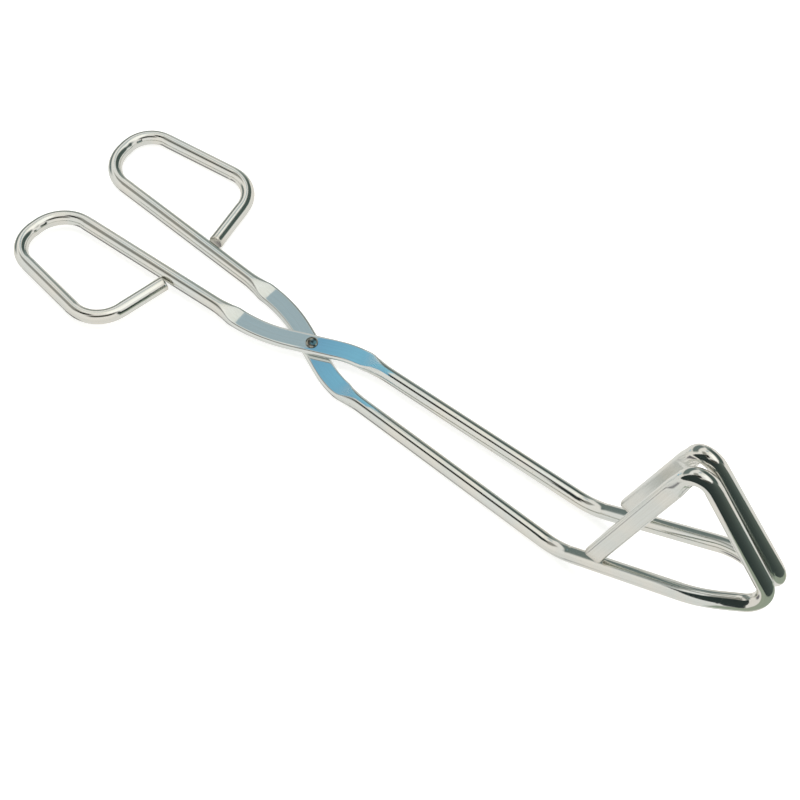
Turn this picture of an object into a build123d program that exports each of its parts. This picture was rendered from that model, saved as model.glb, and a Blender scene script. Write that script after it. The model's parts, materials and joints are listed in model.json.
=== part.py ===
from build123d import *
import math
import os

# Crucible tongs: two bent round wires, crossed and riveted like scissors.
# All sizes are in millimetres. While it is modelled, the pivot is the origin, +X points
# to the jaws, +Y to the side of the lower arm's finger loop and +Z up, out of the plane
# in which the arms open. At the end the tongs are set down with their lowest point at z = 0.

# Stock
wire_dia = 5.5
rivet_dia = 2.4
rivet_head_dia = 4.4
rivet_head_height = 1.3
rivet_tail_dia = 4.4
rivet_tail_height = 0.9

# Clearances
strip_gap = 0.2          # between the two pressed strips at the pivot
rivet_clearance = 0.05   # all round the rivet in the arm that turns on it
head_clearance = 0.05    # under the rivet head
jaw_gap = 0.6            # between the two jaws when the tongs are closed
bar_gap = 1.0            # between the middle of the finger loop's cut end and its own shank
foot_gap = 0.4           # between the jaw leg's cut end and the wire below it

# Strip pressed into each wire where the arms cross. The upper arm runs half a strip and half
# the gap above the middle and the lower arm as far below it, from the loops to the fore bends.
strip_width = 7.8
strip_thickness = 2.5
strip_edge = 1.0         # how far each rounded edge of the strip bulges
cross_angle = 47.6       # between the two strips with the jaws closed
flare_length = 6.0       # from a pressed stretch back to the round wire

# Leg of the jaw, pressed less deeply
leg_width = 6.2
leg_thickness = 4.0
leg_edge = 0.9

# Finger loop, seen from above; y is measured outwards from the centre line
loop_front_x = 64.5      # from the rivet to the loop's front corner
loop_length_upper = 48.0
loop_length_lower = 52.0
loop_inner_y = 12.2
loop_back_width = 24.6
loop_front_width = 31.0
loop_back_slant = 1.5    # how far the outer corner at the back stands behind the inner one
bar_slant = 5.8          # how far the crossbar's cut end stands ahead of the front corner
loop_inner_radius = 13.5
loop_outer_radius = 11.0
loop_front_radius = 12.5

# Shanks and fore arms
shank_bend_x = 17.2
fore_bend_x = 15.1
shank_bend_radius = 58.0
fore_bend_radius = 38.0
jaw_bend_x = 112.8
jaw_bend_y = 9.8
jaw_bend_radius = 20.0

# Jaw: base wire, rounded tip, rising leg, apex and pressed leg down to the base again.
# Runs are measured along X from the jaw bend, and heights upwards from it. Both jaw bends lie
# at the height of the crossing's middle.
base_bend_run = 47.7
base_bend_y = 10.3
base_bend_height = 30.3
base_bend_radius = 38.0
tip_run = 66.7
tip_height = 39.2
tip_radius = 7.5
apex_run_upper = 30.4
apex_run_lower = 32.8
apex_height = 81.5
apex_radius = 4.4
foot_along_upper = 17.1  # along the base wire, from the jaw bend to the point under the foot
foot_along_lower = 18.4
foot_outset = 0.6        # how far the foot stands outside the base wire

# Worked out from the sizes above
wire_radius = wire_dia / 2
strip_offset = (strip_thickness + strip_gap) / 2
cross_slope = math.tan(math.radians(cross_angle / 2))
jaw_mid_y = wire_radius + jaw_gap / 2

# Cross-sections: width, thickness and bulge of the edges
ROUND = (wire_dia, wire_dia, None)
STRIP = (strip_width, strip_thickness, strip_edge)
LEG = (leg_width, leg_thickness, leg_edge)


def section(plane, size):
    """Face of the bar's cross-section: four edges, so that any two of them can be joined."""
    width, thickness, edge = size
    side = width / 2
    top = thickness / 2
    if edge is None:
        corner_x = side * math.sqrt(0.5)
        corner_y = top * math.sqrt(0.5)
        upper = ThreePointArc((corner_x, corner_y), (0, top), (-corner_x, corner_y))
        lower = ThreePointArc((-corner_x, -corner_y), (0, -top), (corner_x, -corner_y))
    else:
        corner_x = side - edge
        corner_y = top
        upper = Line((corner_x, corner_y), (-corner_x, corner_y))
        lower = Line((-corner_x, -corner_y), (corner_x, -corner_y))
    left = ThreePointArc((-corner_x, corner_y), (-side, 0), (-corner_x, -corner_y))
    right = ThreePointArc((corner_x, -corner_y), (side, 0), (corner_x, corner_y))
    outline = Wire([upper, left, lower, right])
    return plane * Face(outline)


def fitted_radii(points, radii, sizes):
    """The bend radii, made smaller where a run is too short for the bends at its two ends."""
    fitted = list(radii)
    last = len(points) - 2
    for i in range(1, last):
        room = (points[i + 1] - points[i]).length
        if sizes[i] != sizes[i - 1]:
            room = room - flare_length
        before = bend_at(points[i - 1], points[i], points[i + 1], fitted[i - 1])[0]
        after = bend_at(points[i], points[i + 1], points[i + 2], fitted[i])[0]
        share = min(1, room / (before + after))
        fitted[i - 1] = fitted[i - 1] * share
        fitted[i] = fitted[i] * share
    return fitted


def bend_at(before, corner, after, radius):
    """Tangent length, axis direction, centre and angle of the arc that rounds a corner."""
    arriving = (corner - before).normalized()
    leaving = (after - corner).normalized()
    angle = arriving.get_angle(leaving)
    tangent = radius * math.tan(math.radians(angle / 2))
    axis = arriving.cross(leaving).normalized()
    centre = corner - arriving * tangent + axis.cross(arriving) * radius
    return tangent, axis, centre, angle


def bent_bar(points, radii, sizes, width_dirs):
    """Solid bar along straight runs joined by tangent arcs.

    Run i goes from points[i] to points[i + 1] with the section sizes[i]. Where the section
    changes, the new run starts with a flare. width_dirs gives the direction of the
    section's width on the runs where it matters, by run number.
    """
    radii = fitted_radii(points, radii, sizes)
    last = len(points) - 2
    pieces = []
    start_cut = 0
    width_dir = width_dirs[0]
    for i in range(last + 1):
        direction = (points[i + 1] - points[i]).normalized()
        if i in width_dirs:
            width_dir = width_dirs[i]
        width_dir = (width_dir - direction * width_dir.dot(direction)).normalized()
        start = points[i] + direction * start_cut
        if i < last:
            tangent, axis, centre, angle = bend_at(points[i], points[i + 1], points[i + 2], radii[i])
        else:
            tangent = 0
        end = points[i + 1] - direction * tangent
        if i > 0 and sizes[i] != sizes[i - 1]:
            flare_end = start + direction * flare_length
            narrow = section(Plane(start, x_dir=width_dir, z_dir=direction), sizes[i - 1])
            wide = section(Plane(flare_end, x_dir=width_dir, z_dir=direction), sizes[i])
            pieces.append(loft([narrow, wide]))
            start = flare_end
        face = section(Plane(start, x_dir=width_dir, z_dir=direction), sizes[i])
        pieces.append(extrude(face, amount=(end - start).length, dir=direction))
        if i < last:
            face = section(Plane(end, x_dir=width_dir, z_dir=direction), sizes[i])
            pieces.append(revolve(face, axis=Axis(centre, axis), revolution_arc=angle))
            width_dir = width_dir.rotate(Axis((0, 0, 0), axis), angle)
        start_cut = tangent
    bar = pieces[0]
    for piece in pieces[1:]:
        bar = bar + piece
    return bar


def handle_half(level, loop_length):
    """Shank and finger loop of the arm whose loop lies on the +Y side, at one height."""
    loop_back = loop_front_x + loop_length
    loop_back_y = loop_inner_y + loop_back_width
    loop_front_y = loop_inner_y + loop_front_width
    bar_end_x = loop_front_x - bar_slant
    shank_bend = Vector(-shank_bend_x, shank_bend_x * cross_slope, level)
    inner_corner = Vector(-loop_back, loop_inner_y, level)
    outer_corner = Vector(-loop_back - loop_back_slant, loop_back_y, level)
    front_corner = Vector(-loop_front_x, loop_front_y, level)
    along_shank = (bar_end_x - shank_bend_x) / (loop_back - shank_bend_x)
    shank_y = shank_bend.Y + along_shank * (loop_inner_y - shank_bend.Y)
    bar_end = Vector(-bar_end_x, shank_y + wire_radius + bar_gap, level)
    crossing = Vector(0, 0, level)
    points = [crossing, shank_bend, inner_corner, outer_corner, front_corner, bar_end]
    radii = [shank_bend_radius, loop_inner_radius, loop_outer_radius, loop_front_radius]
    sizes = [STRIP, ROUND, ROUND, ROUND, ROUND]
    return bent_bar(points, radii, sizes, {0: Vector(0, -1, 0)})


def foot_point(jaw_bend, base_bend, apex, foot_along):
    """Centre of the leg's cut end, which stands just clear above the base wire."""
    along = (base_bend - jaw_bend).normalized()
    above = along.cross(Vector(0, 1, 0))
    under_foot = jaw_bend + along * foot_along
    leg_lean = (under_foot - apex).get_angle(along * -1)
    half_end = leg_width / 2 * math.cos(math.radians(leg_lean))
    lift = wire_radius + half_end + foot_gap
    return under_foot + above * lift + Vector(0, -foot_outset, 0)


def jaw_half(level, apex_run, foot_along):
    """Fore arm and jaw of the same arm, which lie on the -Y side."""
    crossing = Vector(0, 0, level)
    fore_bend = Vector(fore_bend_x, -fore_bend_x * cross_slope, level)
    jaw_bend = Vector(jaw_bend_x, -jaw_bend_y)
    base_bend = Vector(jaw_bend_x + base_bend_run, -base_bend_y, base_bend_height)
    tip = Vector(jaw_bend_x + tip_run, -jaw_mid_y, tip_height)
    apex = Vector(jaw_bend_x + apex_run, -jaw_mid_y, apex_height)
    foot = foot_point(jaw_bend, base_bend, apex, foot_along)
    points = [crossing, fore_bend, jaw_bend, base_bend, tip, apex, foot]
    radii = [fore_bend_radius, jaw_bend_radius, base_bend_radius, tip_radius, apex_radius]
    sizes = [STRIP, ROUND, ROUND, ROUND, ROUND, LEG]
    leg_plane = (tip - apex).cross(foot - apex).normalized()
    leg_width_dir = leg_plane.cross((foot - apex).normalized())
    return bent_bar(points, radii, sizes, {0: Vector(0, 1, 0), 5: leg_width_dir})


def arm(level, loop_length, apex_run, foot_along, hole_radius):
    """One whole arm, with its loop on the +Y side and the rivet hole through its strip."""
    body = handle_half(level, loop_length) + jaw_half(level, apex_run, foot_along)
    hole = Cylinder(hole_radius, wire_dia * 2)
    return body - hole


def lower_arm():
    """The arm underneath. The rivet is fixed in it."""
    hole_radius = rivet_dia / 2
    return arm(-strip_offset, loop_length_lower, apex_run_lower, foot_along_lower, hole_radius)


def upper_arm():
    """The arm on top, which turns on the rivet: the lower arm's mirror image."""
    hole_radius = rivet_dia / 2 + rivet_clearance
    body = arm(strip_offset, loop_length_upper, apex_run_upper, foot_along_upper, hole_radius)
    return mirror(body, Plane.XZ)


def rounded_disc(radius, height, rounding):
    """Disc standing on z = 0 with its upper edge rounded over."""
    disc = Pos(0, 0, height / 2) * Cylinder(radius, height)
    return fillet(disc.edges().group_by(Axis.Z)[-1], rounding)


def rivet():
    """Shank through both strips, a round head on top and a flatter closed tail below."""
    head_seat = strip_offset + strip_thickness / 2 + head_clearance
    tail_seat = strip_offset + strip_thickness / 2
    shank_length = head_seat + tail_seat
    shank = Pos(0, 0, (head_seat - tail_seat) / 2) * Cylinder(rivet_dia / 2, shank_length)
    head = rounded_disc(rivet_head_dia / 2, rivet_head_height, rivet_head_height * 0.6)
    tail = rounded_disc(rivet_tail_dia / 2, rivet_tail_height, rivet_tail_height * 0.7)
    return shank + Pos(0, 0, head_seat) * head + Pos(0, 0, -tail_seat) * Rot(180, 0, 0) * tail


parts = {
    "lower_arm": lower_arm(),
    "upper_arm": upper_arm(),
    "rivet": rivet(),
}

# Set the tongs down: the middle of their outline over the origin, the lowest point at z = 0.
outline_box = Compound(list(parts.values())).bounding_box()
middle = outline_box.center()
set_down = Pos(-middle.X, -middle.Y, -outline_box.min.Z)

os.makedirs("parts", exist_ok=True)
for name, shape in parts.items():
    export_step(set_down * shape, f"parts/{name}.step")
pivot = set_down.position
print("pivot at", round(pivot.X, 4), round(pivot.Y, 4), round(pivot.Z, 4))
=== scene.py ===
"""Crucible tongs of bent, bright-plated wire: the finished look of the two arms and their rivet.

Everything is in metres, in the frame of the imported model. Sizes of the tongs are written in
millimetres, measured from the rivet's axis midway between the two pressed strips: +X to the
jaws, +Y to the lower arm's finger loop, +Z up. They are scaled and moved when a mesh is made.
"""

import json
import logging
import math
from collections.abc import Sequence
from dataclasses import dataclass, field
from enum import Enum

import bmesh
import bpy
import numpy as np
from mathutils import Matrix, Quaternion, Vector


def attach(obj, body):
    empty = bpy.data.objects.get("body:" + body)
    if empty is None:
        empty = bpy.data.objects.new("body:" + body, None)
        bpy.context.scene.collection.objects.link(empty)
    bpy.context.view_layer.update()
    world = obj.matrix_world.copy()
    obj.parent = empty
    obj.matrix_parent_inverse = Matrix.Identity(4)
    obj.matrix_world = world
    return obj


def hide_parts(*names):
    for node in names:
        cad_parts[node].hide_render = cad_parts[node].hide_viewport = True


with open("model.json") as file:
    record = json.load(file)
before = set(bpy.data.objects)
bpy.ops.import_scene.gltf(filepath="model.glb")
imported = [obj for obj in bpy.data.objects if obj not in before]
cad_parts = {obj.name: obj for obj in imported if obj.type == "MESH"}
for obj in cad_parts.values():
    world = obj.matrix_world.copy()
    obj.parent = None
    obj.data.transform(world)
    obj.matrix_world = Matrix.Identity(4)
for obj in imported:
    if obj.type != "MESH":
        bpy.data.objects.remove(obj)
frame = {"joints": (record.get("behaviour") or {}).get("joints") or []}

MM = 0.001
UP = Vector((0, 0, 1))
PIVOT = Vector(frame["joints"][0]["pos_m"])
SHARP_ANGLE = math.radians(50)

log = logging.getLogger("crucible_tongs")

Colour = tuple[float, float, float]
Span = tuple[float, float]

UNIT: Span = (0.0, 1.0)
MOST_NOISE: Span = (0.3, 0.7)


class Place(Enum):
    """Which arm of the pair it is: the one underneath or the one on top."""

    LOWER = "lower"
    UPPER = "upper"


# ---------------------------------------------------------------- Small helpers


def held(value: float) -> float:
    """The number from 0 to 1 that is nearest to a value."""
    return min(1.0, max(0.0, value))


def eased(value: float) -> float:
    """A value held from 0 to 1, with a soft start and a soft end."""
    share = held(value)
    return share * share * (3 - 2 * share)


def put_in_scene(name: str, data: bpy.types.ID) -> bpy.types.Object:
    """Makes an object of a mesh, a light or a camera, and links it to the scene.

    Args:
        name: The object's name.
        data: The mesh, light or camera.

    Returns:
        The object.
    """
    made = bpy.data.objects.new(name, data)
    bpy.context.scene.collection.objects.link(made)
    return made


def hide_from(made: bpy.types.Object, *rays: str) -> None:
    """Hides an object from some kinds of ray, such as "camera" or "shadow"."""
    for ray in rays:
        setattr(made, f"visible_{ray}", False)


# ---------------------------------------------------------------- Node helper


class NodeSheet:
    """Short calls that add nodes to one node tree and join them."""

    def __init__(self, tree: bpy.types.NodeTree) -> None:
        """Starts with an empty tree."""
        self.tree = tree
        tree.nodes.clear()

    def add(self, kind: str, inputs: dict[int | str, object] | None = None, **settings: object
            ) -> bpy.types.Node:
        """Adds a node.

        Args:
            kind: The node's type name.
            inputs: What goes into its inputs, by number or by name.
            **settings: Properties of the node itself.

        Returns:
            The new node.
        """
        node = self.tree.nodes.new(kind)
        for name, value in settings.items():
            setattr(node, name, value)
        for key, value in (inputs or {}).items():
            self.feed(node.inputs[key], value)
        return node

    def feed(self, socket: bpy.types.NodeSocket, value: object) -> None:
        """Joins an output to an input, or sets a constant on the input.

        Args:
            socket: The input.
            value: The output, or the constant.
        """
        if isinstance(value, bpy.types.NodeSocket):
            self.tree.links.new(value, socket)
        else:
            socket.default_value = value

    def attribute(self, name: str, output: str = "Fac") -> bpy.types.NodeSocket:
        """Reads a value that the mesh holds for each of its points."""
        return self.add("ShaderNodeAttribute", attribute_name=name).outputs[output]

    def math(self, operation: str, first: object, second: object = 0.0) -> bpy.types.NodeSocket:
        """Adds one sum on numbers and gives its result."""
        return self.add("ShaderNodeMath", {0: first, 1: second}, operation=operation).outputs[0]

    def vector(self, operation: str, first: object, second: object) -> bpy.types.Node:
        """Adds one sum on vectors and gives its node."""
        return self.add("ShaderNodeVectorMath", {0: first, 1: second}, operation=operation)

    def mapped(self, value: object, source: Span, target: Span, smooth: bool = False
               ) -> bpy.types.NodeSocket:
        """Maps a number from one range to another, held at both ends.

        Args:
            value: The number.
            source: The range that it comes from.
            target: The range that it goes to.
            smooth: Whether it eases in and out.

        Returns:
            The mapped number.
        """
        kind = "SMOOTHSTEP" if smooth else "LINEAR"
        inputs = dict(enumerate((value, *source, *target)))
        return self.add("ShaderNodeMapRange", inputs, interpolation_type=kind).outputs[0]

    def mixed(self, share: object, first: object, second: object) -> bpy.types.NodeSocket:
        """Mixes two colours.

        Args:
            share: How much there is of the second one, from 0 to 1.
            first: The first colour, or an output that gives it.
            second: The second colour, or an output that gives it.

        Returns:
            The mixed colour.
        """
        node = self.add("ShaderNodeMix", {"Factor": share}, data_type="RGBA")
        for socket, value in zip((s for s in node.inputs if s.type == "RGBA"), (first, second)):
            self.feed(socket, value if isinstance(value, bpy.types.NodeSocket) else (*value, 1.0))
        return next(s for s in node.outputs if s.type == "RGBA")

    def noise(self, place: object, scale: float, detail: float, roughness: float = 0.5
              ) -> bpy.types.NodeSocket:
        """Adds a noise pattern and gives its grey value."""
        inputs = {"Vector": place, "Scale": scale, "Detail": detail, "Roughness": roughness}
        return self.add("ShaderNodeTexNoise", inputs).outputs["Fac"]

    def bump(self, height: object, distance: float, **more: object) -> bpy.types.NodeSocket:
        """Adds a bump, with its Strength or Normal if given, and gives the new normal."""
        return self.add("ShaderNodeBump", {"Height": height, "Distance": distance, **more}).outputs[0]

    def metal(self, colour: object, roughness: object, normal: object) -> None:
        """Ends a material with bare metal.

        Args:
            colour: Its colour.
            roughness: Its roughness.
            normal: The normal of its relief.
        """
        inputs = {"Metallic": 1.0, "Base Color": colour, "Roughness": roughness, "Normal": normal}
        shader = self.add("ShaderNodeBsdfPrincipled", inputs)
        self.add("ShaderNodeOutputMaterial", {"Surface": shader.outputs[0]})

    def glow(self, colour: object) -> None:
        """Ends a material with an even glow."""
        shader = self.add("ShaderNodeEmission", {"Color": colour})
        self.add("ShaderNodeOutputMaterial", {"Surface": shader.outputs[0]})


def new_material(name: str) -> tuple[bpy.types.Material, NodeSheet]:
    """Starts a material with an empty node tree.

    Args:
        name: The material's name.

    Returns:
        The material, and the sheet that fills its tree.
    """
    material = bpy.data.materials.new(name)
    material.use_nodes = True
    return material, NodeSheet(material.node_tree)


# ---------------------------------------------------------------- Finishes


@dataclass(frozen=True)
class PlatedWire:
    """Bright nickel plating over drawn steel wire: a painted cool reflection on the flats, duller where they
    run out.
    """

    name: str = "bright_plated_wire"
    warm: Colour = (0.86, 0.845, 0.80)
    cool: Colour = (0.79, 0.82, 0.81)
    cloud_span: Span = (0.35, 0.65)
    # Painted reflection: the pressed flats are tinted cool, standing in for the blue that they mirror.
    painted_cool_reflection: Colour = (0.80, 0.84, 0.84)
    painted_cool_reflection_share: float = 0.8
    stain: Colour = (0.60, 0.56, 0.48)
    streak_share: float = 0.16
    pit_mark: float = 0.4
    wear_mark: float = 0.5
    roughness: float = 0.10
    flat_roughness: float = 0.07
    line_dulling: Span = (-0.015, 0.03)
    cloud_dulling_span: Span = (0.4, 0.7)
    cloud_dulling: float = 0.02
    run_out_dulling: float = 0.7
    mark_dulling: float = 0.25
    cloud_scale: float = 55.0
    line_scale: float = 2600.0
    line_stretch: float = 0.012
    grain_scale: float = 1500.0
    pit_scale: float = 900.0
    pit_span: Span = (0.76, 0.80)
    line_depth: float = 1.1e-6
    flat_line_strength: float = 0.35
    dent_depth: float = 5.0e-6
    grain_heights: Span = (0.05, 0.35)
    pit_height: float = 0.3

    def make(self) -> bpy.types.Material:
        """Makes the plating: clouds of tone, drawing lines along the wire, pits and press grain.

        Returns:
            The material, for a mesh that holds bar_place, pressed and worn.
        """
        material, sheet = new_material(self.name)
        place = sheet.attribute("bar_place", "Vector")
        pressed, worn = sheet.attribute("pressed"), sheet.attribute("worn")
        clouds = sheet.noise(place, self.cloud_scale, 3.0)
        stretched = sheet.vector("MULTIPLY", place, (1.0, 1.0, self.line_stretch)).outputs[0]
        lines = sheet.noise(stretched, self.line_scale, 3.0, 0.6)
        grain = sheet.noise(place, self.grain_scale, 2.0)
        pits = sheet.mapped(sheet.noise(place, self.pit_scale, 1.0), self.pit_span, UNIT)
        marked = sheet.math("MAXIMUM", sheet.math("MULTIPLY", pits, self.pit_mark),
                            sheet.math("MULTIPLY", worn, self.wear_mark))
        sheet.metal(self._tone(sheet, pressed, clouds, lines, marked),
                    self._dullness(sheet, pressed, clouds, lines, marked),
                    self._relief(sheet, pressed, lines, grain, pits))
        return material

    def _tone(self, sheet: NodeSheet, pressed: object, clouds: object, lines: object, marked: object
              ) -> bpy.types.NodeSocket:
        """The plating's colour.

        Args:
            sheet: The material's nodes.
            pressed: How far the wire is pressed.
            clouds: The broad noise.
            lines: The noise drawn out along the wire.
            marked: How deep the pits and the wear go.

        Returns:
            The colour.
        """
        tone = sheet.mixed(sheet.mapped(clouds, self.cloud_span, UNIT, True), self.warm, self.cool)
        # Painted reflection: a cool tint on the pressed flats, standing in for the blue that they mirror.
        tone = sheet.mixed(sheet.math("MULTIPLY", pressed, self.painted_cool_reflection_share), tone, self.painted_cool_reflection)
        streak = sheet.mapped(lines, MOST_NOISE, (0.0, self.streak_share))
        return sheet.mixed(marked, sheet.mixed(streak, tone, self.stain), self.stain)

    def _dullness(self, sheet: NodeSheet, pressed: object, clouds: object, lines: object,
                  marked: object) -> bpy.types.NodeSocket:
        """The plating's roughness.

        Args:
            sheet: The material's nodes.
            pressed: How far the wire is pressed.
            clouds: The broad noise.
            lines: The noise drawn out along the wire.
            marked: How deep the pits and the wear go.

        Returns:
            The roughness.
        """
        dull = sheet.mapped(pressed, UNIT, (self.roughness, self.flat_roughness))
        run_out = sheet.math("MULTIPLY", pressed, sheet.math("SUBTRACT", 1.0, pressed))
        for more in (sheet.mapped(lines, MOST_NOISE, self.line_dulling),
                     sheet.mapped(clouds, self.cloud_dulling_span, (0.0, self.cloud_dulling)),
                     sheet.math("MULTIPLY", run_out, self.run_out_dulling),
                     sheet.math("MULTIPLY", marked, self.mark_dulling)):
            dull = sheet.math("ADD", dull, more)
        return dull

    def _relief(self, sheet: NodeSheet, pressed: object, lines: object, grain: object, pits: object
                ) -> bpy.types.NodeSocket:
        """The plating's relief: drawing lines, with the press's grain and the pits over them.

        Args:
            sheet: The material's nodes.
            pressed: How far the wire is pressed.
            lines: The noise drawn out along the wire.
            grain: The fine noise.
            pits: Where the pits are.

        Returns:
            The normal.
        """
        strength = sheet.mapped(pressed, UNIT, (1.0, self.flat_line_strength))
        drawn = sheet.bump(lines, self.line_depth, Strength=strength)
        height = sheet.math("MULTIPLY", grain, sheet.mapped(pressed, UNIT, self.grain_heights))
        height = sheet.math("SUBTRACT", height, sheet.math("MULTIPLY", pits, self.pit_height))
        return sheet.bump(height, self.dent_depth, Normal=drawn)


@dataclass(frozen=True)
class ShearedSteel:
    """The wire's cut ends: torn, unpolished steel under thin plating, painted near black as the shade on the
    cut faces.
    """

    name: str = "sheared_steel_painted_shade"
    # Painted shade: both tones are far darker than bare steel, standing in for the shade on the cut faces.
    light: Colour = (0.17, 0.165, 0.155)
    dark: Colour = (0.03, 0.03, 0.027)
    tone_span: Span = (0.35, 0.65)
    roughness: Span = (0.46, 0.26)
    tear_scale: float = 1800.0
    tear_stretch: float = 0.12
    tear_depth: float = 2.5e-5

    def make(self) -> bpy.types.Material:
        """Makes a rough face with tear marks that run across it.

        Returns:
            The material, for a mesh that holds bar_place.
        """
        material, sheet = new_material(self.name)
        place = sheet.attribute("bar_place", "Vector")
        stretched = sheet.vector("MULTIPLY", place, (1.0, self.tear_stretch, 1.0)).outputs[0]
        tears = sheet.noise(stretched, self.tear_scale, 4.0, 0.65)
        # Painted shade: the near-black tones stand in for the shade on the cut faces; the tear marks between
        # them are the cut's own grain.
        sheet.metal(sheet.mixed(sheet.mapped(tears, self.tone_span, UNIT), self.dark, self.light),
                    sheet.mapped(tears, MOST_NOISE, self.roughness),
                    sheet.bump(tears, self.tear_depth))
        return material


@dataclass(frozen=True)
class RivetSteel:
    """Steel of the rivet, painted dark as shade: painted highlight on the raised places that the hammer
    smoothed, painted shade in the dents.
    """

    name: str = "hammered_rivet_painted_shade"
    # Painted highlight and painted shade: the light tone goes on the raised places, the dark one in the
    # dents, both far darker than bare steel.
    light: Colour = (0.40, 0.39, 0.34)
    dark: Colour = (0.07, 0.068, 0.06)
    tone_span: Span = (0.35, 0.55)
    roughness: Span = (0.11, 0.25)
    dent_scale: float = 900.0
    grain_scale: float = 5200.0
    dent_depth: float = 4.0e-5
    grain_depth: float = 3.0e-6

    def make(self) -> bpy.types.Material:
        """Makes the rivet's surface from broad hammer dents and a fine grain, with painted shade in the
        dents and painted highlight on the raised places.

        Returns:
            The material.
        """
        material, sheet = new_material(self.name)
        place = sheet.add("ShaderNodeTexCoord").outputs["Object"]
        dents = sheet.noise(place, self.dent_scale, 2.0)
        grain = sheet.noise(place, self.grain_scale, 3.0)
        broad = sheet.bump(dents, self.dent_depth)
        # Painted shade and highlight: the tone follows the dents' height, darker down in them and lighter on
        # the raised places.
        sheet.metal(sheet.mixed(sheet.mapped(dents, self.tone_span, UNIT), self.dark, self.light),
                    sheet.mapped(grain, MOST_NOISE, self.roughness),
                    sheet.bump(grain, self.grain_depth, Normal=broad))
        return material


# ---------------------------------------------------------------- Bent wire


@dataclass(frozen=True)
class Corner:
    """A corner of a wire's route and the radius of the bend that rounds it, in mm."""

    point: Vector
    radius: float = 0.0


@dataclass(frozen=True)
class Station:
    """One cross-section's place on the route: all in mm."""

    point: Vector
    tangent: Vector
    along: float
    to_centre: Vector
    bend_radius: float


class CentreLine:
    """A wire's centre line: straight runs joined by bends, cut into closely spaced stations."""

    straight_step: float = 1.0
    bend_step: float = 0.45
    bend_turn: float = math.radians(3.0)

    def __init__(self, corners: list[Corner]) -> None:
        """Lays out the stations and notes where each bend starts and ends.

        Args:
            corners: The route's ends and corners, in order.
        """
        self.stations: list[Station] = []
        self.bend_start = [0.0] * len(corners)
        self.bend_end = [0.0] * len(corners)
        self.length = 0.0
        here = corners[0].point
        for i in range(1, len(corners)):
            arriving = (corners[i].point - corners[i - 1].point).normalized()
            if i == len(corners) - 1:
                self._run(here, corners[i].point, arriving, True)
                break
            leaving = (corners[i + 1].point - corners[i].point).normalized()
            turn = arriving.angle(leaving)
            tangent = corners[i].radius * math.tan(turn / 2)
            bend_from = corners[i].point - arriving * tangent
            self._run(here, bend_from, arriving, False)
            self.bend_start[i] = self.length
            self._bend(bend_from, arriving, leaving, corners[i].radius, turn)
            self.bend_end[i] = self.length
            here = corners[i].point + leaving * tangent

    def nearest(self, point: Vector) -> float:
        """How far along the wire it passes closest to a point."""
        station = min(self.stations, key=lambda each: (each.point - point).length)
        return station.along + (point - station.point).dot(station.tangent)

    def _run(self, start: Vector, end: Vector, direction: Vector, closed: bool) -> None:
        """Adds the stations of a straight run.

        Args:
            start: Where it starts.
            end: Where it ends.
            direction: The way that it goes.
            closed: Whether it has its last station, as only the route's last run has.
        """
        length = (end - start).length
        count = max(1, math.ceil(length / self.straight_step))
        for k in range(count + int(closed)):
            share = k / count
            place = start.lerp(end, share)
            self.stations.append(Station(place, direction, self.length + share * length, Vector(), 0.0))
        self.length += length

    def _bend(self, start: Vector, arriving: Vector, leaving: Vector, radius: float, turn: float) -> None:
        """Adds the stations of a bend, without its last one.

        Args:
            start: Where it starts.
            arriving: The wire's direction before it.
            leaving: The wire's direction after it.
            radius: Its radius, in mm.
            turn: The angle that it turns through, in radians.
        """
        axis = arriving.cross(leaving).normalized()
        inward = axis.cross(arriving)
        centre = start + inward * radius
        count = max(2, math.ceil(turn / self.bend_turn), math.ceil(radius * turn / self.bend_step))
        for k in range(count):
            angle = turn * k / count
            turned = Quaternion(axis, angle)
            place = centre - turned @ inward * radius
            along = self.length + radius * angle
            self.stations.append(Station(place, turned @ arriving, along, turned @ inward, radius))
        self.length += radius * turn


@dataclass(frozen=True)
class Outline:
    """Cross-section of the wire where it is pressed: flat top and bottom, bulging edges, in mm."""

    width: float
    thickness: float
    edge: float
    rounding: float = 0.009

    def points(self, shares: np.ndarray) -> np.ndarray:
        """Places on the outline.

        Args:
            shares: How far round the outline each place is, from 0 to 1. Each quarter of it
                is one side, and the first is half of the right edge.

        Returns:
            One row of width and thickness coordinates for each place.
        """
        window = np.linspace(-self.rounding, self.rounding, 9)
        return np.mean([self._sharp(shares + shift) for shift in window], axis=0)

    def _sharp(self, shares: np.ndarray) -> np.ndarray:
        """The same places before the corners are rounded.

        Args:
            shares: How far round the outline each place is.

        Returns:
            One row of width and thickness coordinates for each place.
        """
        side, top = self.width / 2, self.thickness / 2
        corner = side - self.edge
        radius = (top ** 2 + self.edge ** 2) / (2 * self.edge)
        reach = math.asin(top / radius)
        # The first quarter starts half an edge back from the first place.
        turned = (np.asarray(shares) + 1 / 8) % 1.0
        quarter = np.floor(turned * 4).astype(int) % 4
        within = turned * 4 - np.floor(turned * 4)
        angle = reach * (2 * within - 1)
        edge_x = side - radius + radius * np.cos(angle)
        edge_y = radius * np.sin(angle)
        flat_x = corner * (1 - 2 * within)
        flat_y = np.full_like(flat_x, top)
        x = np.choose(quarter, [edge_x, flat_x, -edge_x, -flat_x])
        y = np.choose(quarter, [edge_y, flat_y, -edge_y, -flat_y])
        return np.stack([x, y], axis=1)


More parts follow.
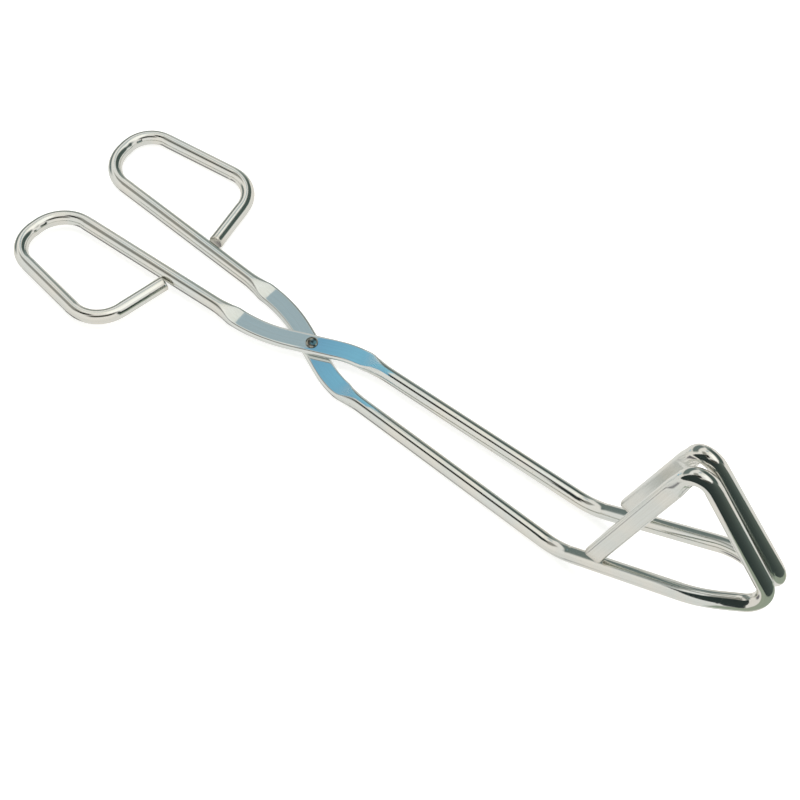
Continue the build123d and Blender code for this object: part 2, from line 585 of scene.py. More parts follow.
@dataclass(frozen=True)
class Pressing:
    """A pressed stretch of the wire: its section, where it is whole, and how it runs out, in mm.

    The dulling says how far the press has taken the wire's brightness, from 0 to 1.
    """

    outline: Outline
    start: float
    end: float
    flare: float
    dulling: float
    crease: float = 0.09

    def share(self, along: float) -> float:
        """How far the section has gone from round, 0, to pressed, 1, at a place on the wire."""
        outside = max(self.start - along, along - self.end, 0.0)
        return 1.0 - eased(outside / self.flare)

    def shaped(self, rounded: np.ndarray, radius: float, shares: np.ndarray, share: float) -> np.ndarray:
        """The section part of the way from round to pressed.

        The flat narrows to a point as it runs out, because the press cuts ever less deeply
        into the round wire, which spreads ever less to the sides.

        Args:
            rounded: The round section's points.
            radius: The round section's radius.
            shares: How far round the outline each point is, from 0 to 1.
            share: How far the section is pressed, from 0 to 1.

        Returns:
            One row of width and thickness coordinates for each point.
        """
        half = self.outline.thickness / 2
        spread = 1 + (self.outline.width / 2 / radius - 1) * share
        # Four creases outside the round wire, the soft cut no longer changes it.
        open_limit = radius + 4 * self.crease
        limit = open_limit + (half - open_limit) * share
        height = np.abs(rounded[:, 1])
        cut = -self.crease * np.logaddexp(-height / self.crease, -limit / self.crease)
        clipped = np.column_stack([rounded[:, 0] * spread, np.sign(rounded[:, 1]) * np.maximum(cut, 0.0)])
        pressed = self.outline.points(shares) * np.array([1.0, limit / half])
        return clipped + (pressed - clipped) * eased(2 * share - 1)


def ring_shares(per_side: int, crowding: float = 1.6) -> np.ndarray:
    """Places round the section, closer together near the four corners of a pressed outline.

    Args:
        per_side: How many places each half side has.
        crowding: How strongly they crowd towards the corners; 1 spaces them evenly.

    Returns:
        The places as shares of the way round, from 0.
    """
    closing = 1 - (1 - np.arange(per_side) / per_side) ** crowding
    half = np.unique(np.round(np.concatenate([closing, 2 - closing[::-1]]), 6))
    half = half[half < 2.0]
    return np.concatenate([(half + 2 * k) / 8 for k in range(4)])


@dataclass
class BentWire:
    """One wire swept along its centre line, with pressed stretches and sheared ends."""

    name: str
    line: CentreLine
    diameter: float
    pressings: list[Pressing]
    level_along: float
    leg_width_dir: Vector
    roll_span: tuple[float, float]
    chamfer: float = 0.22
    dish: float = 0.12
    squeeze: float = 0.30
    skin: float = 0.012
    per_side: int = 9
    bend_loss_limit: float = 0.16
    wear_reach: float = 4.0
    torn_rings: int = 4

    def build(self) -> bpy.types.Object:
        """Makes the wire's mesh object, in metres and in place.

        Returns:
            The object, with the attributes that its finish reads.
        """
        shares = ring_shares(self.per_side)
        count = len(shares)
        width_dirs = self._width_dirs()
        rings, places, flats, wear = [], [], [], []
        for station, width_dir in zip(self.line.stations, width_dirs):
            section, pressed = self._section(station.along, shares)
            rings.append(self._ring(station, width_dir, section))
            places.append(np.column_stack([section, np.full(count, station.along)]))
            flats.append(np.full(count, pressed))
            wear.append(np.full(count, self._wear(station.along)))
        rings, places, flats, wear = self._shear(rings, places, flats, wear)
        vertices = np.concatenate(rings) * MM + np.array(PIVOT)
        faces, torn = self._faces(len(rings), count)
        mesh = bpy.data.meshes.new(self.name)
        mesh.from_pydata([tuple(v) for v in vertices], [], faces)
        mesh.polygons.foreach_set("material_index", torn)
        self._note(mesh, "pressed", "FLOAT", np.concatenate(flats))
        self._note(mesh, "worn", "FLOAT", np.concatenate(wear))
        self._note(mesh, "bar_place", "FLOAT_VECTOR", np.concatenate(places) * MM)
        mesh.shade_smooth()
        mesh.update()
        return put_in_scene(self.name, mesh)

    def _width_dirs(self) -> list[Vector]:
        """Directions of the section's width.

        It is level where the strip is pressed, is carried along without twist both ways from
        there, and rolls on the round wire until it suits the pressed leg at the far end.

        Returns:
            One direction for each station.
        """
        stations = self.line.stations
        middle = min(range(len(stations)), key=lambda k: abs(stations[k].along - self.level_along))
        dirs: list[Vector] = [Vector()] * len(stations)
        dirs[middle] = UP.cross(stations[middle].tangent).normalized()
        for step, stop in ((1, len(stations)), (-1, -1)):
            for k in range(middle + step, stop, step):
                turn = stations[k - step].tangent.rotation_difference(stations[k].tangent)
                carried = turn @ dirs[k - step]
                dirs[k] = (carried - stations[k].tangent * carried.dot(stations[k].tangent)).normalized()
        last = stations[-1].tangent
        roll = math.atan2(dirs[-1].cross(self.leg_width_dir).dot(last), dirs[-1].dot(self.leg_width_dir))
        if abs(roll) > math.pi / 2:
            roll -= math.copysign(math.pi, roll)
        start, end = self.roll_span
        for k, station in enumerate(stations):
            share = held((station.along - start) / (end - start))
            dirs[k] = Quaternion(station.tangent, roll * share) @ dirs[k]
        return dirs

    def _section(self, along: float, shares: np.ndarray) -> tuple[np.ndarray, float]:
        """The section at a place on the wire.

        Args:
            along: How far along the wire it is, in mm.
            shares: How far round the section each point is, from 0 to 1.

        Returns:
            The points' width and thickness coordinates, and how far they are pressed.
        """
        angles = shares * 2 * math.pi
        radius = self.diameter / 2 - self.skin
        section = np.stack([np.cos(angles), np.sin(angles)], axis=1) * radius
        most = 0.0
        for pressing in self.pressings:
            share = pressing.share(along)
            if share > 0.0:
                section = pressing.shaped(section, radius, shares, share)
                most = max(most, share * pressing.dulling)
        return section, most

    def _ring(self, station: Station, width_dir: Vector, section: np.ndarray) -> np.ndarray:
        """The section's points in space, squeezed a little towards the centre of a bend.

        Args:
            station: Where the section stands.
            width_dir: The direction of its width.
            section: Its points' width and thickness coordinates.

        Returns:
            One row of coordinates for each point, in mm.
        """
        thick_dir = station.tangent.cross(width_dir)
        ring = np.outer(section[:, 0], width_dir) + np.outer(section[:, 1], thick_dir)
        if station.bend_radius > 0.0:
            inward = np.array(station.to_centre)
            loss = self.squeeze * min(self.bend_loss_limit, self.diameter / 4 / station.bend_radius)
            ring = ring - np.outer(ring @ inward * loss, inward)
        return ring + np.array(station.point)

    def _wear(self, along: float) -> float:
        """Light scuffing near the two cut ends, from 0 to 1."""
        from_end = min(along, self.line.length - along)
        return max(0.0, 1.0 - from_end / self.wear_reach) ** 2

    def _shear(self, rings: list, places: list, flats: list, wear: list) -> tuple[list, list, list, list]:
        """Replaces each end ring by a chamfer and a slightly dished, sheared face.

        Args:
            rings: The points of each ring.
            places: The points' own coordinates across and along the wire.
            flats: How far each point is pressed.
            wear: How worn each point is.

        Returns:
            The four lists with the rings of the two end faces.
        """
        stations = self.line.stations
        for end, outward in ((0, stations[0].tangent * -1), (-1, stations[-1].tangent)):
            rim = rings[end]
            centre = rim.mean(axis=0)
            out = np.array(outward)
            steps = self._end_steps(np.linalg.norm(rim - centre, axis=1).min())
            made = [centre + (rim - centre) * scale + out * shift for scale, shift in steps]
            spread = [places[end] * np.array([scale, scale, 1.0]) for scale, _ in steps]
            if end == 0:
                rings[0:1], places[0:1] = made[::-1], spread[::-1]
                flats[0:1], wear[0:1] = [flats[0]] * len(made), [wear[0]] * len(made)
            else:
                rings[-1:], places[-1:] = made, spread
                flats[-1:], wear[-1:] = [flats[-1]] * len(made), [wear[-1]] * len(made)
        return rings, places, flats, wear

    def _end_steps(self, reach: float) -> list[Span]:
        """The rings that shape a cut end, from its rim to its middle.

        Args:
            reach: The rim's least distance from its middle, in mm.

        Returns:
            Each ring's size as a share of the rim's, and its shift outwards in mm.
        """
        worn_off = self.chamfer / reach
        chamfer = [(1.0, -self.chamfer), (1.0 - 0.35 * worn_off, -0.3 * self.chamfer), (1.0 - worn_off, 0.0)]
        face = [(0.84, -0.02), (0.55, -0.7 * self.dish), (0.25, -self.dish), (0.0, -self.dish)]
        return chamfer + face

    def _faces(self, rings: int, count: int) -> tuple[list[tuple[int, ...]], list[int]]:
        """Quads between neighbouring rings.

        Args:
            rings: How many rings there are.
            count: How many points each ring has.

        Returns:
            The faces, and 1 for each one that belongs to a sheared face, or else 0.
        """
        faces, torn = [], []
        for i in range(rings - 1):
            on_end = int(i < self.torn_rings or i >= rings - 1 - self.torn_rings)
            for j in range(count):
                k = (j + 1) % count
                faces.append((i * count + j, i * count + k, (i + 1) * count + k, (i + 1) * count + j))
                torn.append(on_end)
        return faces, torn

    @staticmethod
    def _note(mesh: bpy.types.Mesh, name: str, kind: str, values: np.ndarray) -> None:
        """Stores a value for each vertex that a finish reads.

        Args:
            mesh: The mesh.
            name: The name that the finish reads it by.
            kind: The kind of value, as Blender names it.
            values: The values, in the order of the vertices.
        """
        attribute = mesh.attributes.new(name, kind, "POINT")
        key = "vector" if kind == "FLOAT_VECTOR" else "value"
        attribute.data.foreach_set(key, np.ascontiguousarray(values, np.float32).ravel())


# ---------------------------------------------------------------- Sub-assemblies


@dataclass(frozen=True)
class FingerLoop:
    """The handle's loop with its shank, seen from above: y is measured outwards, in mm."""

    front_x: float = 64.5
    length: float = 48.0
    inner_y: float = 12.2
    back_width: float = 24.6
    front_width: float = 31.0
    back_slant: float = 1.5
    bar_slant: float = 5.8
    bar_gap: float = 1.0
    inner_radius: float = 13.5
    outer_radius: float = 11.0
    front_radius: float = 12.5
    shank_bend_x: float = 17.2
    shank_bend_radius: float = 58.0

    def corners(self, level: float, cross_slope: float, wire_radius: float) -> list[Corner]:
        """The route from the crossbar's cut end round the loop to the bend before the strip.

        Args:
            level: Height of the loop's centre line.
            cross_slope: Slope of the strip against the tongs' centre line.
            wire_radius: The wire's radius.

        Returns:
            The corners in order, on the lower arm's side.
        """
        back_x = self.front_x + self.length
        shank_bend = Vector((-self.shank_bend_x, self.shank_bend_x * cross_slope, level))
        end_x = self.front_x - self.bar_slant
        share = (end_x - self.shank_bend_x) / (back_x - self.shank_bend_x)
        shank_y = shank_bend.y + share * (self.inner_y - shank_bend.y)
        return [
            Corner(Vector((-end_x, shank_y + wire_radius + self.bar_gap, level))),
            Corner(Vector((-self.front_x, self.inner_y + self.front_width, level)), self.front_radius),
            Corner(Vector((-back_x - self.back_slant, self.inner_y + self.back_width, level)),
                   self.outer_radius),
            Corner(Vector((-back_x, self.inner_y, level)), self.inner_radius),
            Corner(shank_bend, self.shank_bend_radius),
        ]


@dataclass(frozen=True)
class CrossedStrip:
    """The flat that is pressed into each wire where the arms cross, in mm."""

    width: float = 7.8
    thickness: float = 2.5
    edge: float = 1.0
    gap: float = 0.2
    cross_angle: float = 47.6
    fore_bend_x: float = 15.1
    fore_bend_radius: float = 38.0
    handle_reach: float = 27.0
    fore_reach: float = 17.0
    flare: float = 13.0
    dulling: float = 1.0

    @property
    def level(self) -> float:
        """Height of the strip's middle above or below the crossing's middle."""
        return (self.thickness + self.gap) / 2

    @property
    def cross_slope(self) -> float:
        """Slope of one strip against the tongs' centre line."""
        return math.tan(math.radians(self.cross_angle / 2))

    def corners(self, level: float) -> list[Corner]:
        """The bend from the crossing into the fore arm."""
        fore_bend = Vector((self.fore_bend_x, -self.fore_bend_x * self.cross_slope, level))
        return [Corner(fore_bend, self.fore_bend_radius)]

    def pressing(self, middle: float) -> Pressing:
        """The pressed stretch of the strip, with the handle's side before the rivet.

        Args:
            middle: How far along the wire the rivet's axis crosses it.

        Returns:
            The pressed stretch.
        """
        outline = Outline(self.width, self.thickness, self.edge)
        return Pressing(outline, middle - self.handle_reach, middle + self.fore_reach,
                        self.flare, self.dulling)


@dataclass(frozen=True)
class JawTriangle:
    """The upturned jaw: base wire, tip, rising leg, apex and the pressed leg back down, in mm."""

    bend_x: float = 112.8
    bend_y: float = 9.8
    bend_radius: float = 20.0
    base_run: float = 47.7
    base_y: float = 10.3
    base_height: float = 30.3
    base_radius: float = 38.0
    tip_run: float = 66.7
    tip_height: float = 39.2
    tip_radius: float = 7.5
    apex_run: float = 30.4
    apex_height: float = 81.5
    apex_radius: float = 4.4
    jaw_gap: float = 0.6
    foot_along: float = 18.4
    foot_outset: float = 0.6
    foot_gap: float = 0.4
    leg_width: float = 6.2
    leg_thickness: float = 4.0
    leg_edge: float = 0.9
    leg_flare: float = 9.0
    leg_dulling: float = 0.25
    leg_crease: float = 0.16

    def corners(self, wire_radius: float) -> list[Corner]:
        """The route from the jaw bend to the leg's cut end.

        Args:
            wire_radius: The wire's radius.

        Returns:
            The corners in order, on the lower arm's side.
        """
        middle_y = -(wire_radius + self.jaw_gap / 2)
        jaw_bend = Vector((self.bend_x, -self.bend_y, 0))
        base_bend = Vector((self.bend_x + self.base_run, -self.base_y, self.base_height))
        tip = Vector((self.bend_x + self.tip_run, middle_y, self.tip_height))
        apex = Vector((self.bend_x + self.apex_run, middle_y, self.apex_height))
        foot = self._foot(jaw_bend, base_bend, apex, wire_radius)
        return [
            Corner(jaw_bend, self.bend_radius),
            Corner(base_bend, self.base_radius),
            Corner(tip, self.tip_radius),
            Corner(apex, self.apex_radius),
            Corner(foot),
        ]

    def pressing(self, apex_end: float, wire_end: float) -> Pressing:
        """The pressed stretch of the leg, which is whole from just past the apex to the cut end.

        Args:
            apex_end: How far along the wire the apex bend ends.
            wire_end: How far along the wire the cut end is.

        Returns:
            The pressed stretch.
        """
        outline = Outline(self.leg_width, self.leg_thickness, self.leg_edge)
        return Pressing(outline, apex_end + self.leg_flare, wire_end,
                        self.leg_flare, self.leg_dulling, self.leg_crease)

    def _foot(self, jaw_bend: Vector, base_bend: Vector, apex: Vector, wire_radius: float) -> Vector:
        """Centre of the leg's cut end, just clear above the base wire.

        Args:
            jaw_bend: Corner at the base wire's start.
            base_bend: Corner at the base wire's end.
            apex: Corner at the top of the triangle.
            wire_radius: The wire's radius.

        Returns:
            The point in mm.
        """
        along = (base_bend - jaw_bend).normalized()
        above = along.cross(Vector((0, 1, 0)))
        under = jaw_bend + along * self.foot_along
        lean = (under - apex).angle(along * -1)
        lift = wire_radius + self.leg_width / 2 * math.cos(lean) + self.foot_gap
        return under + above * lift + Vector((0, -self.foot_outset, 0))


@dataclass
class TongArm:
    """One arm: a single wire from the loop's cut end to the jaw's cut end."""

    place: Place
    loop: FingerLoop
    jaw: JawTriangle
    strip: CrossedStrip = field(default_factory=CrossedStrip)
    wire: float = 5.5
    hole: float = 2.4
    hole_clearance: float = 0.0
    hole_sides: int = 64
    drill_depth: float = 20.0

    def build(self) -> bpy.types.Object:
        """Makes the arm's mesh with its rivet hole.

        Returns:
            The arm's object, mirrored to the other side if it is the upper one.
        """
        radius = self.wire / 2
        level = self.strip.level if self.place is Place.UPPER else -self.strip.level
        corners = self.loop.corners(level, self.strip.cross_slope, radius)
        corners += self.strip.corners(level) + self.jaw.corners(radius)
        corners = [self._on_side(corner) for corner in corners]
        line = CentreLine(corners)
        apex = len(corners) - 2
        middle = line.nearest(UP * level)
        strip = self.strip.pressing(middle)
        leg = self.jaw.pressing(line.bend_end[apex], line.length)
        tip_point, apex_point, foot_point = [corner.point for corner in corners[-3:]]
        leg_dir = (foot_point - apex_point).normalized()
        triangle = (tip_point - apex_point).cross(leg_dir).normalized()
        wire = BentWire(f"{self.place.value}_arm_wire", line, self.wire, [strip, leg], middle,
                        triangle.cross(leg_dir), (strip.end + strip.flare, line.bend_start[apex]))
        made = wire.build()
        self._drill(made)
        return made

    def dress(self, made: bpy.types.Object, plating: bpy.types.Material, torn: bpy.types.Material) -> None:
        """Gives the arm its plating and its sheared ends, and sets it on its body.

        Args:
            made: The arm.
            plating: The wire's finish.
            torn: The cut ends' finish.
        """
        made.data.materials.append(plating)
        made.data.materials.append(torn)
        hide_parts(f"{self.place.value}_arm")
        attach(made, self.place.value)

    def _on_side(self, corner: Corner) -> Corner:
        """The corner on the side of this arm: the upper arm is the lower one's mirror image."""
        side = 1 if self.place is Place.LOWER else -1
        return Corner(Vector((corner.point.x, side * corner.point.y, corner.point.z)), corner.radius)

    def _drill(self, made: bpy.types.Object) -> None:
        """Cuts the rivet hole through the strip.

        Args:
            made: The arm, before it has its materials.
        """
        drill_mesh = bpy.data.meshes.new("drill")
        tool = bmesh.new()
        radius = (self.hole / 2 + self.hole_clearance) * MM
        bmesh.ops.create_cone(tool, cap_ends=True, segments=self.hole_sides, radius1=radius,
                              radius2=radius, depth=self.drill_depth * MM)
        tool.to_mesh(drill_mesh)
        tool.free()
        drill = put_in_scene("drill", drill_mesh)
        drill.location = PIVOT
        cut = made.modifiers.new("rivet_hole", "BOOLEAN")
        cut.operation = "DIFFERENCE"
        cut.solver = "EXACT"
        cut.object = drill
        bpy.context.view_layer.update()
        ready = made.evaluated_get(bpy.context.evaluated_depsgraph_get())
        drilled = bpy.data.meshes.new_from_object(ready)
        made.modifiers.clear()
        plain = made.data
        made.data = drilled
        drilled.name = made.name
        bpy.data.meshes.remove(plain)
        bpy.data.objects.remove(drill)
        bpy.data.meshes.remove(drill_mesh)
        made.data.materials.clear()
        made.data.set_sharp_from_angle(angle=SHARP_ANGLE)


@dataclass
class PivotRivet:
    """The rivet: a shank through both strips, a domed head on top and a hammered tail below, in mm."""

    strip: CrossedStrip = field(default_factory=CrossedStrip)
    shank: float = 2.4
    head: float = 4.4
    head_height: float = 1.3
    head_wall: float = 0.10
    head_fullness: float = 2.4
    head_clearance: float = 0.05
    tail: float = 4.4
    tail_height: float = 0.9
    tail_wall: float = 0.16
    tail_fullness: float = 3.2
    seat_inset: float = 0.05
    crown_fall: float = 0.012
    tail_spread: float = 0.035
    tail_rise: float = 0.05
    head_flat: float = 0.02
    head_sink: float = 0.03
    segments: int = 72
    dome_steps: int = 12

    def build(self) -> bpy.types.Object:
        """Makes the rivet by turning its profile, with flats and a spread tail left by the hammer.

        Returns:
            The rivet's object.
        """
        bottom = -(self.strip.level + self.strip.thickness / 2)
        top = -bottom + self.head_clearance
        profile = self._button(self.head / 2, self.head_height, self.head_wall, self.head_fullness)
        head = [(r, top + z) for r, z in profile]
        profile = self._button(self.tail / 2, self.tail_height, self.tail_wall, self.tail_fullness)
        tail = [(r, bottom - z) for r, z in profile]
        shank = [(self.shank / 2, top), (self.shank / 2, bottom)]
        vertices, faces = self._turn(head[::-1] + shank + tail, top, bottom)
        mesh = bpy.data.meshes.new("pivot_rivet")
        mesh.from_pydata(vertices, [], faces)
        mesh.shade_smooth()
        mesh.set_sharp_from_angle(angle=SHARP_ANGLE)
        mesh.update()
        return put_in_scene("pivot_rivet", mesh)

    def dress(self, made: bpy.types.Object, steel: bpy.types.Material) -> None:
        """Gives the rivet its steel and sets it on the arm that it is fixed in.

        Args:
            made: The rivet.
            steel: Its finish.
        """
        made.data.materials.append(steel)
        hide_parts("rivet")
        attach(made, Place.LOWER.value)

    def _button(self, radius: float, height: float, wall: float, fullness: float) -> list[Span]:
        """Half profile of a head: a short wall, then a domed crown.

        Args:
            radius: The head's radius.
            height: Its height.
            wall: The wall's share of the height.
            fullness: How far the crown bulges; 2 makes it round, and more makes it squarer.

        Returns:
            Radius and height of each row, from the seat to the top.
        """
        rows = [(radius - self.seat_inset, 0.0), (radius, wall * height)]
        for k in range(1, self.dome_steps):
            share = k / self.dome_steps
            rows.append((radius * math.sqrt(1 - share ** fullness), height * (wall + (1 - wall) * share)))
        crown = rows[-1][0]
        rows += [(crown * share, height * (1 - self.crown_fall * share)) for share in (0.75, 0.5, 0.25)]
        return rows

    def _turn(self, rows: list[Span], top: float, bottom: float
              ) -> tuple[list[tuple[float, ...]], list[tuple[int, ...]]]:
        """Turns the profile round the axis and closes it at the top and the bottom.

        Args:
            rows: Radius and height of each row, from the top down.
            top: Height of the head's seat.
            bottom: Height of the tail's seat.

        Returns:
            The vertices in metres, and the faces.
        """
        vertices = []
        for r, z in rows:
            for k in range(self.segments):
                angle = 2 * math.pi * k / self.segments
                spread, drop = self._hammered(r, z, angle, top, bottom)
                vertices.append(tuple(PIVOT + Vector((spread * math.cos(angle), spread * math.sin(angle),
                                                      z + drop)) * MM))
        faces = []
        for i in range(len(rows) - 1):
            for k in range(self.segments):
                n = (k + 1) % self.segments
                a, b = i * self.segments, (i + 1) * self.segments
                faces.append((b + k, b + n, a + n, a + k))
        for row, height, flip in ((0, rows[0][1], True), (len(rows) - 1, rows[-1][1], False)):
            middle = len(vertices)
            vertices.append(tuple(PIVOT + UP * height * MM))
            for k in range(self.segments):
                n = (k + 1) % self.segments
                a = row * self.segments
                face = (a + k, a + n, middle)
                faces.append(face if flip else face[::-1])
        return vertices, faces

    def _hammered(self, r: float, z: float, angle: float, top: float, bottom: float) -> Span:
        """What the hammer did to one point: the tail spreads unevenly, the crown has flats.

        Args:
            r: The point's radius.
            z: Its height.
            angle: Its angle round the axis, in radians.
            top: Height of the head's seat.
            bottom: Height of the tail's seat.

        Returns:
            The point's new radius, and its change of height.
        """
        if z < bottom:
            depth = (bottom - z) / self.tail_height
            waves = (1 + math.sin(3 * angle + 0.8) + 0.5 * math.sin(7 * angle)) / 2
            rise = self.tail_rise * depth * (1 + math.sin(2 * angle + r)) / 2
            return r * (1 - self.tail_spread * depth * waves), rise
        if z > top:
            flat = (z - top) / self.head_height * (0.5 + 0.5 * math.cos(4 * angle + 1.1))
            return r * (1 - self.head_flat * flat), -self.head_sink * flat * r / (self.head / 2)
        return r, 0.0


# ---------------------------------------------------------------- Studio


@dataclass(frozen=True)
class Panel:
    """A soft light panel or a dark flag round the tongs, by direction and size in degrees."""

    azimuth: float
    elevation: float
    half_width: float
    half_height: float
    colour: Colour
    softness: float = 0.35

    def add_to(self, sheet: NodeSheet, direction: bpy.types.NodeSocket, ground: object
               ) -> bpy.types.NodeSocket:
        """Lays the panel over what is already round the tongs.

        Args:
            sheet: The world's node tree.
            direction: The direction that is being looked at.
            ground: The colour behind the panel.

        Returns:
            The colour with the panel in front.
        """
        azimuth, elevation = math.radians(self.azimuth), math.radians(self.elevation)
        level = Vector((math.cos(azimuth), math.sin(azimuth), 0))
        ahead = level * math.cos(elevation) + UP * math.sin(elevation)
        side = UP.cross(level)
        above = ahead.cross(side)
        across = sheet.vector("DOT_PRODUCT", direction, side / math.sin(math.radians(self.half_width)))
        upward = sheet.vector("DOT_PRODUCT", direction, above / math.sin(math.radians(self.half_height)))
        x, y = across.outputs["Value"], upward.outputs["Value"]
        squares = {0: sheet.math("MULTIPLY", x, x), 1: sheet.math("MULTIPLY", y, y)}
        both = sheet.add("ShaderNodeCombineXYZ", squares)
        reach = sheet.vector("LENGTH", both.outputs[0], (0, 0, 0)).outputs["Value"]
        share = sheet.mapped(reach, (1 - self.softness, 1 + self.softness), (1.0, 0.0), True)
        facing = sheet.vector("DOT_PRODUCT", direction, ahead).outputs["Value"]
        share = sheet.math("MULTIPLY", share, sheet.math("GREATER_THAN", facing, 0.0))
        return sheet.mixed(share, ground, self.colour)


def hang_card(name: str, vertices: list[Vector], faces: list[tuple[int, ...]], shares: Sequence[float],
              tones: tuple[Colour, Colour]) -> None:
    """Hangs a glowing card in the studio that only the metal's reflections see.

    Args:
        name: The card's name.
        vertices: Its points in mm, measured from the rivet.
        faces: Its faces.
        shares: How far each point has gone from the first tone to the second, from 0 to 1.
        tones: The two tones.
    """
    mesh = bpy.data.meshes.new(name)
    mesh.from_pydata([tuple(PIVOT + point * MM) for point in vertices], [], faces)
    mesh.attributes.new("across", "FLOAT", "POINT").data.foreach_set("value", shares)
    cloth, sheet = new_material(f"{name}_cloth")
    sheet.glow(sheet.mixed(sheet.attribute("across"), *tones))
    mesh.materials.append(cloth)
    card = put_in_scene(name, mesh)
    hide_from(card, "camera", "diffuse", "transmission", "shadow")


@dataclass
class SkyCard:
    """A small level card over the rivet, in sky blue, that the fore ends of the strips mirror: in mm."""

    left: float = -8.0
    right: float = 24.0
    near: float = -6.0
    far: float = 22.0
    height: float = 20.0
    tones: tuple[Colour, Colour] = ((0.19, 0.42, 0.60), (0.26, 0.62, 0.78))
    shares: tuple[float, ...] = (0.0, 0.2, 1.0, 0.0)

    def build(self) -> None:
        """Makes the card, brighter at the far right."""
        points = [Vector((x, y, self.height)) for x, y in (
            (self.left, self.near), (self.right, self.near), (self.right, self.far), (self.left, self.far))]
        hang_card("sky_card", points, [(0, 1, 2, 3)], self.shares, self.tones)


@dataclass
class JawFlag:
    """A curved card in front of the jaws, which only the metal's reflections see: in mm, degrees.

    Its tone is the first colour for most of its turn and changes to the second one at its end.
    """

    name: str
    start: float
    end: float
    top: float
    start_edge: float
    end_edge: float
    tones: tuple[Colour, Colour]
    step_at: float = -75.0
    step_width: float = 20.0
    centre_x: float = 150.0
    radius: float = 75.0
    segments: int = 48
    late_change: int = 4

    def build(self) -> None:
        """Makes the card, with its lower edge stepping smoothly from one height to the other."""
        vertices, shares = [], []
        for k in range(self.segments + 1):
            share = k / self.segments
            azimuth = self.start + (self.end - self.start) * share
            step = held((azimuth - self.step_at) / self.step_width + 0.5)
            edge = self.start_edge + (self.end_edge - self.start_edge) * step
            out = Vector((math.cos(math.radians(azimuth)), math.sin(math.radians(azimuth)), 0))
            foot = Vector((self.centre_x, 0, 0)) + out * self.radius
            vertices += [foot + UP * edge, foot + UP * self.top]
            shares += [share ** self.late_change] * 2
        faces = [(2 * k, 2 * k + 2, 2 * k + 3, 2 * k + 1) for k in range(self.segments)]
        hang_card(self.name, vertices, faces, shares, self.tones)


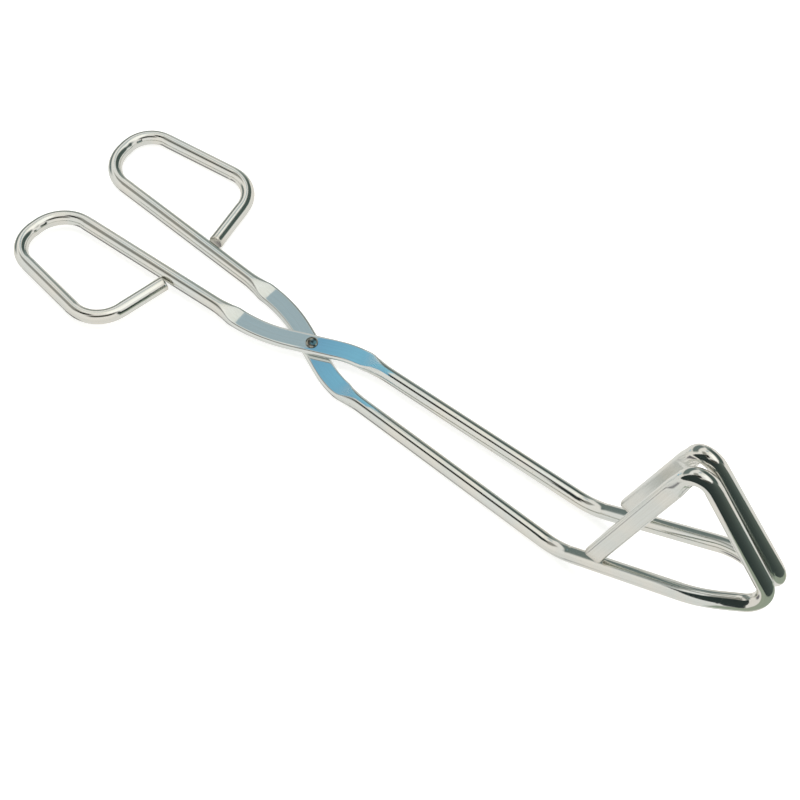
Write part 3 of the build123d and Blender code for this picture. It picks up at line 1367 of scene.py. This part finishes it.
@dataclass
class Studio:
    """Pale floor, soft light all round with panels and flags, and the camera."""

    aim_right: float = 30.7
    aim_down: float = 18.6
    distance: float = 500.6
    azimuth: float = 39.18
    elevation: float = 57.69
    lens: float = 64.43
    sensor: float = 36.0
    clip: Span = (0.01, 20.0)
    floor_size: float = 8.0
    floor_gap: float = 0.05
    floor_tone: float = 0.9
    floor_roughness: float = 0.9
    floor_glow: float = 0.55
    backdrop_radius: float = 3.5
    ceiling_light: float = 7.0
    ceiling_size: float = 1.2
    ceiling_place: tuple[float, float, float] = (-0.15, 0.25, 1.3)
    tent: tuple[Colour, Colour] = ((0.80, 0.79, 0.75), (0.86, 0.85, 0.81))
    tent_heights: Span = (-0.2, 0.3)
    panels: list[Panel] = field(default_factory=lambda: [
        Panel(162, 8, 36, 17, (0.16, 0.20, 0.19), 0.4),
        Panel(60, 78, 34, 14, (1.15, 1.15, 1.10), 0.5),
        Panel(112, 20, 12, 23, (0.24, 0.29, 0.27), 0.6),
        Panel(-155, 53, 19, 11, (0.30, 0.30, 0.27), 0.6),
        Panel(133, 64, 14, 10, (0.90, 0.90, 0.83), 0.6),
        Panel(-50, 56, 26, 13, (0.07, 0.07, 0.06), 0.6),
        Panel(-128, 63, 11, 10, (0.02, 0.02, 0.016), 0.5),
        Panel(72, 36, 36, 21, (0.075, 0.105, 0.095), 0.4),
        Panel(-135, -48, 13, 10, (0.16, 0.155, 0.165), 0.4),
        Panel(138, 53.5, 7, 5.5, (0.39, 0.49, 0.53), 0.1),
    ])
    flags: list[JawFlag] = field(default_factory=lambda: [
        JawFlag("dark_flag", -150, 35, 170, 46, 18, ((0.025, 0.036, 0.034), (0.12, 0.15, 0.13))),
        JawFlag("grey_flag", -72, 40, 18, -60, -60, ((0.33, 0.38, 0.30), (0.33, 0.38, 0.30))),
    ])
    sky: SkyCard = field(default_factory=SkyCard)

    def build(self) -> None:
        """Sets up the floor, the backdrop, the light and the camera."""
        self._floor()
        self._backdrop()
        for flag in self.flags:
            flag.build()
        self.sky.build()
        self._surroundings()
        self._ceiling()
        self._camera()
        bpy.context.scene.view_settings.view_transform = "Standard"

    def _floor(self) -> None:
        """A pale matt floor just under the lowest wire."""
        half = self.floor_size / 2
        mesh = bpy.data.meshes.new("pale_floor")
        corners = [(-half, -half, 0), (half, -half, 0), (half, half, 0), (-half, half, 0)]
        mesh.from_pydata(corners, [], [(0, 1, 2, 3)])
        floor = put_in_scene("pale_floor", mesh)
        floor.location.z = -self.floor_gap * MM
        material = bpy.data.materials.new("pale_floor_paint")
        material.use_nodes = True
        shader = material.node_tree.nodes["Principled BSDF"]
        shader.inputs["Base Color"].default_value = (self.floor_tone, self.floor_tone, self.floor_tone, 1)
        shader.inputs["Roughness"].default_value = self.floor_roughness
        shader.inputs["Emission Color"].default_value = (1, 1, 1, 1)
        shader.inputs["Emission Strength"].default_value = self.floor_glow
        mesh.materials.append(material)
        hide_from(floor, "glossy")

    def _backdrop(self) -> None:
        """A pale dome behind everything, which only the camera sees."""
        mesh = bpy.data.meshes.new("pale_backdrop")
        shape = bmesh.new()
        bmesh.ops.create_uvsphere(shape, u_segments=64, v_segments=32, radius=self.backdrop_radius)
        shape.to_mesh(mesh)
        shape.free()
        material, sheet = new_material("pale_backdrop_glow")
        sheet.glow((1, 1, 1, 1))
        mesh.materials.append(material)
        dome = put_in_scene("pale_backdrop", mesh)
        hide_from(dome, "diffuse", "glossy", "transmission", "shadow")

    def _surroundings(self) -> None:
        """The light tent: even and pale, with the panels and flags that the metal mirrors."""
        world = bpy.data.worlds.new("light_tent")
        world.use_nodes = True
        bpy.context.scene.world = world
        sheet = NodeSheet(world.node_tree)
        direction = sheet.add("ShaderNodeTexCoord").outputs["Generated"]
        height = sheet.add("ShaderNodeSeparateXYZ", {0: direction}).outputs[2]
        colour = sheet.mixed(sheet.mapped(height, self.tent_heights, UNIT, True), *self.tent)
        for panel in self.panels:
            colour = panel.add_to(sheet, direction, colour)
        background = sheet.add("ShaderNodeBackground", {"Color": colour})
        sheet.add("ShaderNodeOutputWorld", {"Surface": background.outputs[0]})

    def _ceiling(self) -> None:
        """A wide soft light overhead, which the metal doesn't mirror."""
        data = bpy.data.lights.new("ceiling_light", "AREA")
        data.shape = "SQUARE"
        data.size = self.ceiling_size
        data.energy = self.ceiling_light
        lamp = put_in_scene("ceiling_light", data)
        lamp.location = self.ceiling_place
        lamp.rotation_mode = "QUATERNION"
        lamp.rotation_quaternion = (-lamp.location).to_track_quat("-Z", "Y")
        hide_from(lamp, "glossy")

    def _camera(self) -> None:
        """The camera, aimed at a point beside the rivet."""
        azimuth, elevation = math.radians(self.azimuth), math.radians(self.elevation)
        right = Vector((math.cos(azimuth), math.sin(azimuth), 0))
        level = Vector((-math.sin(azimuth), math.cos(azimuth), 0))
        ahead = level * math.cos(elevation) - UP * math.sin(elevation)
        above = right.cross(ahead)
        data = bpy.data.cameras.new("front_camera")
        data.lens = self.lens
        data.sensor_width = self.sensor
        data.clip_start, data.clip_end = self.clip
        camera = put_in_scene("front_camera", data)
        aim = PIVOT + (right * self.aim_right - above * self.aim_down) * MM
        camera.location = aim - ahead * self.distance * MM
        camera.rotation_mode = "QUATERNION"
        camera.rotation_quaternion = ahead.to_track_quat("-Z", "Y")
        bpy.context.scene.camera = camera


# ---------------------------------------------------------------- Assembly


def report(made: bpy.types.Object) -> None:
    """Notes a finished piece and the size of its mesh."""
    log.info("%s: %d vertices, %d faces", made.name, len(made.data.vertices), len(made.data.polygons))


def main() -> None:
    logging.basicConfig(level=logging.INFO, format="%(name)s: %(message)s")
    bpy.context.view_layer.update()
    Studio().build()
    plating, torn, steel = PlatedWire().make(), ShearedSteel().make(), RivetSteel().make()
    arms = [
        TongArm(Place.LOWER, FingerLoop(length=52.0), JawTriangle(apex_run=32.8)),
        TongArm(Place.UPPER, FingerLoop(length=48.0), JawTriangle(apex_run=30.4, foot_along=17.1),
                hole_clearance=0.05),
    ]
    for arm in arms:
        made = arm.build()
        arm.dress(made, plating, torn)
        report(made)
    rivet = PivotRivet()
    made = rivet.build()
    rivet.dress(made, steel)
    report(made)


if __name__ == "__main__":
    main()
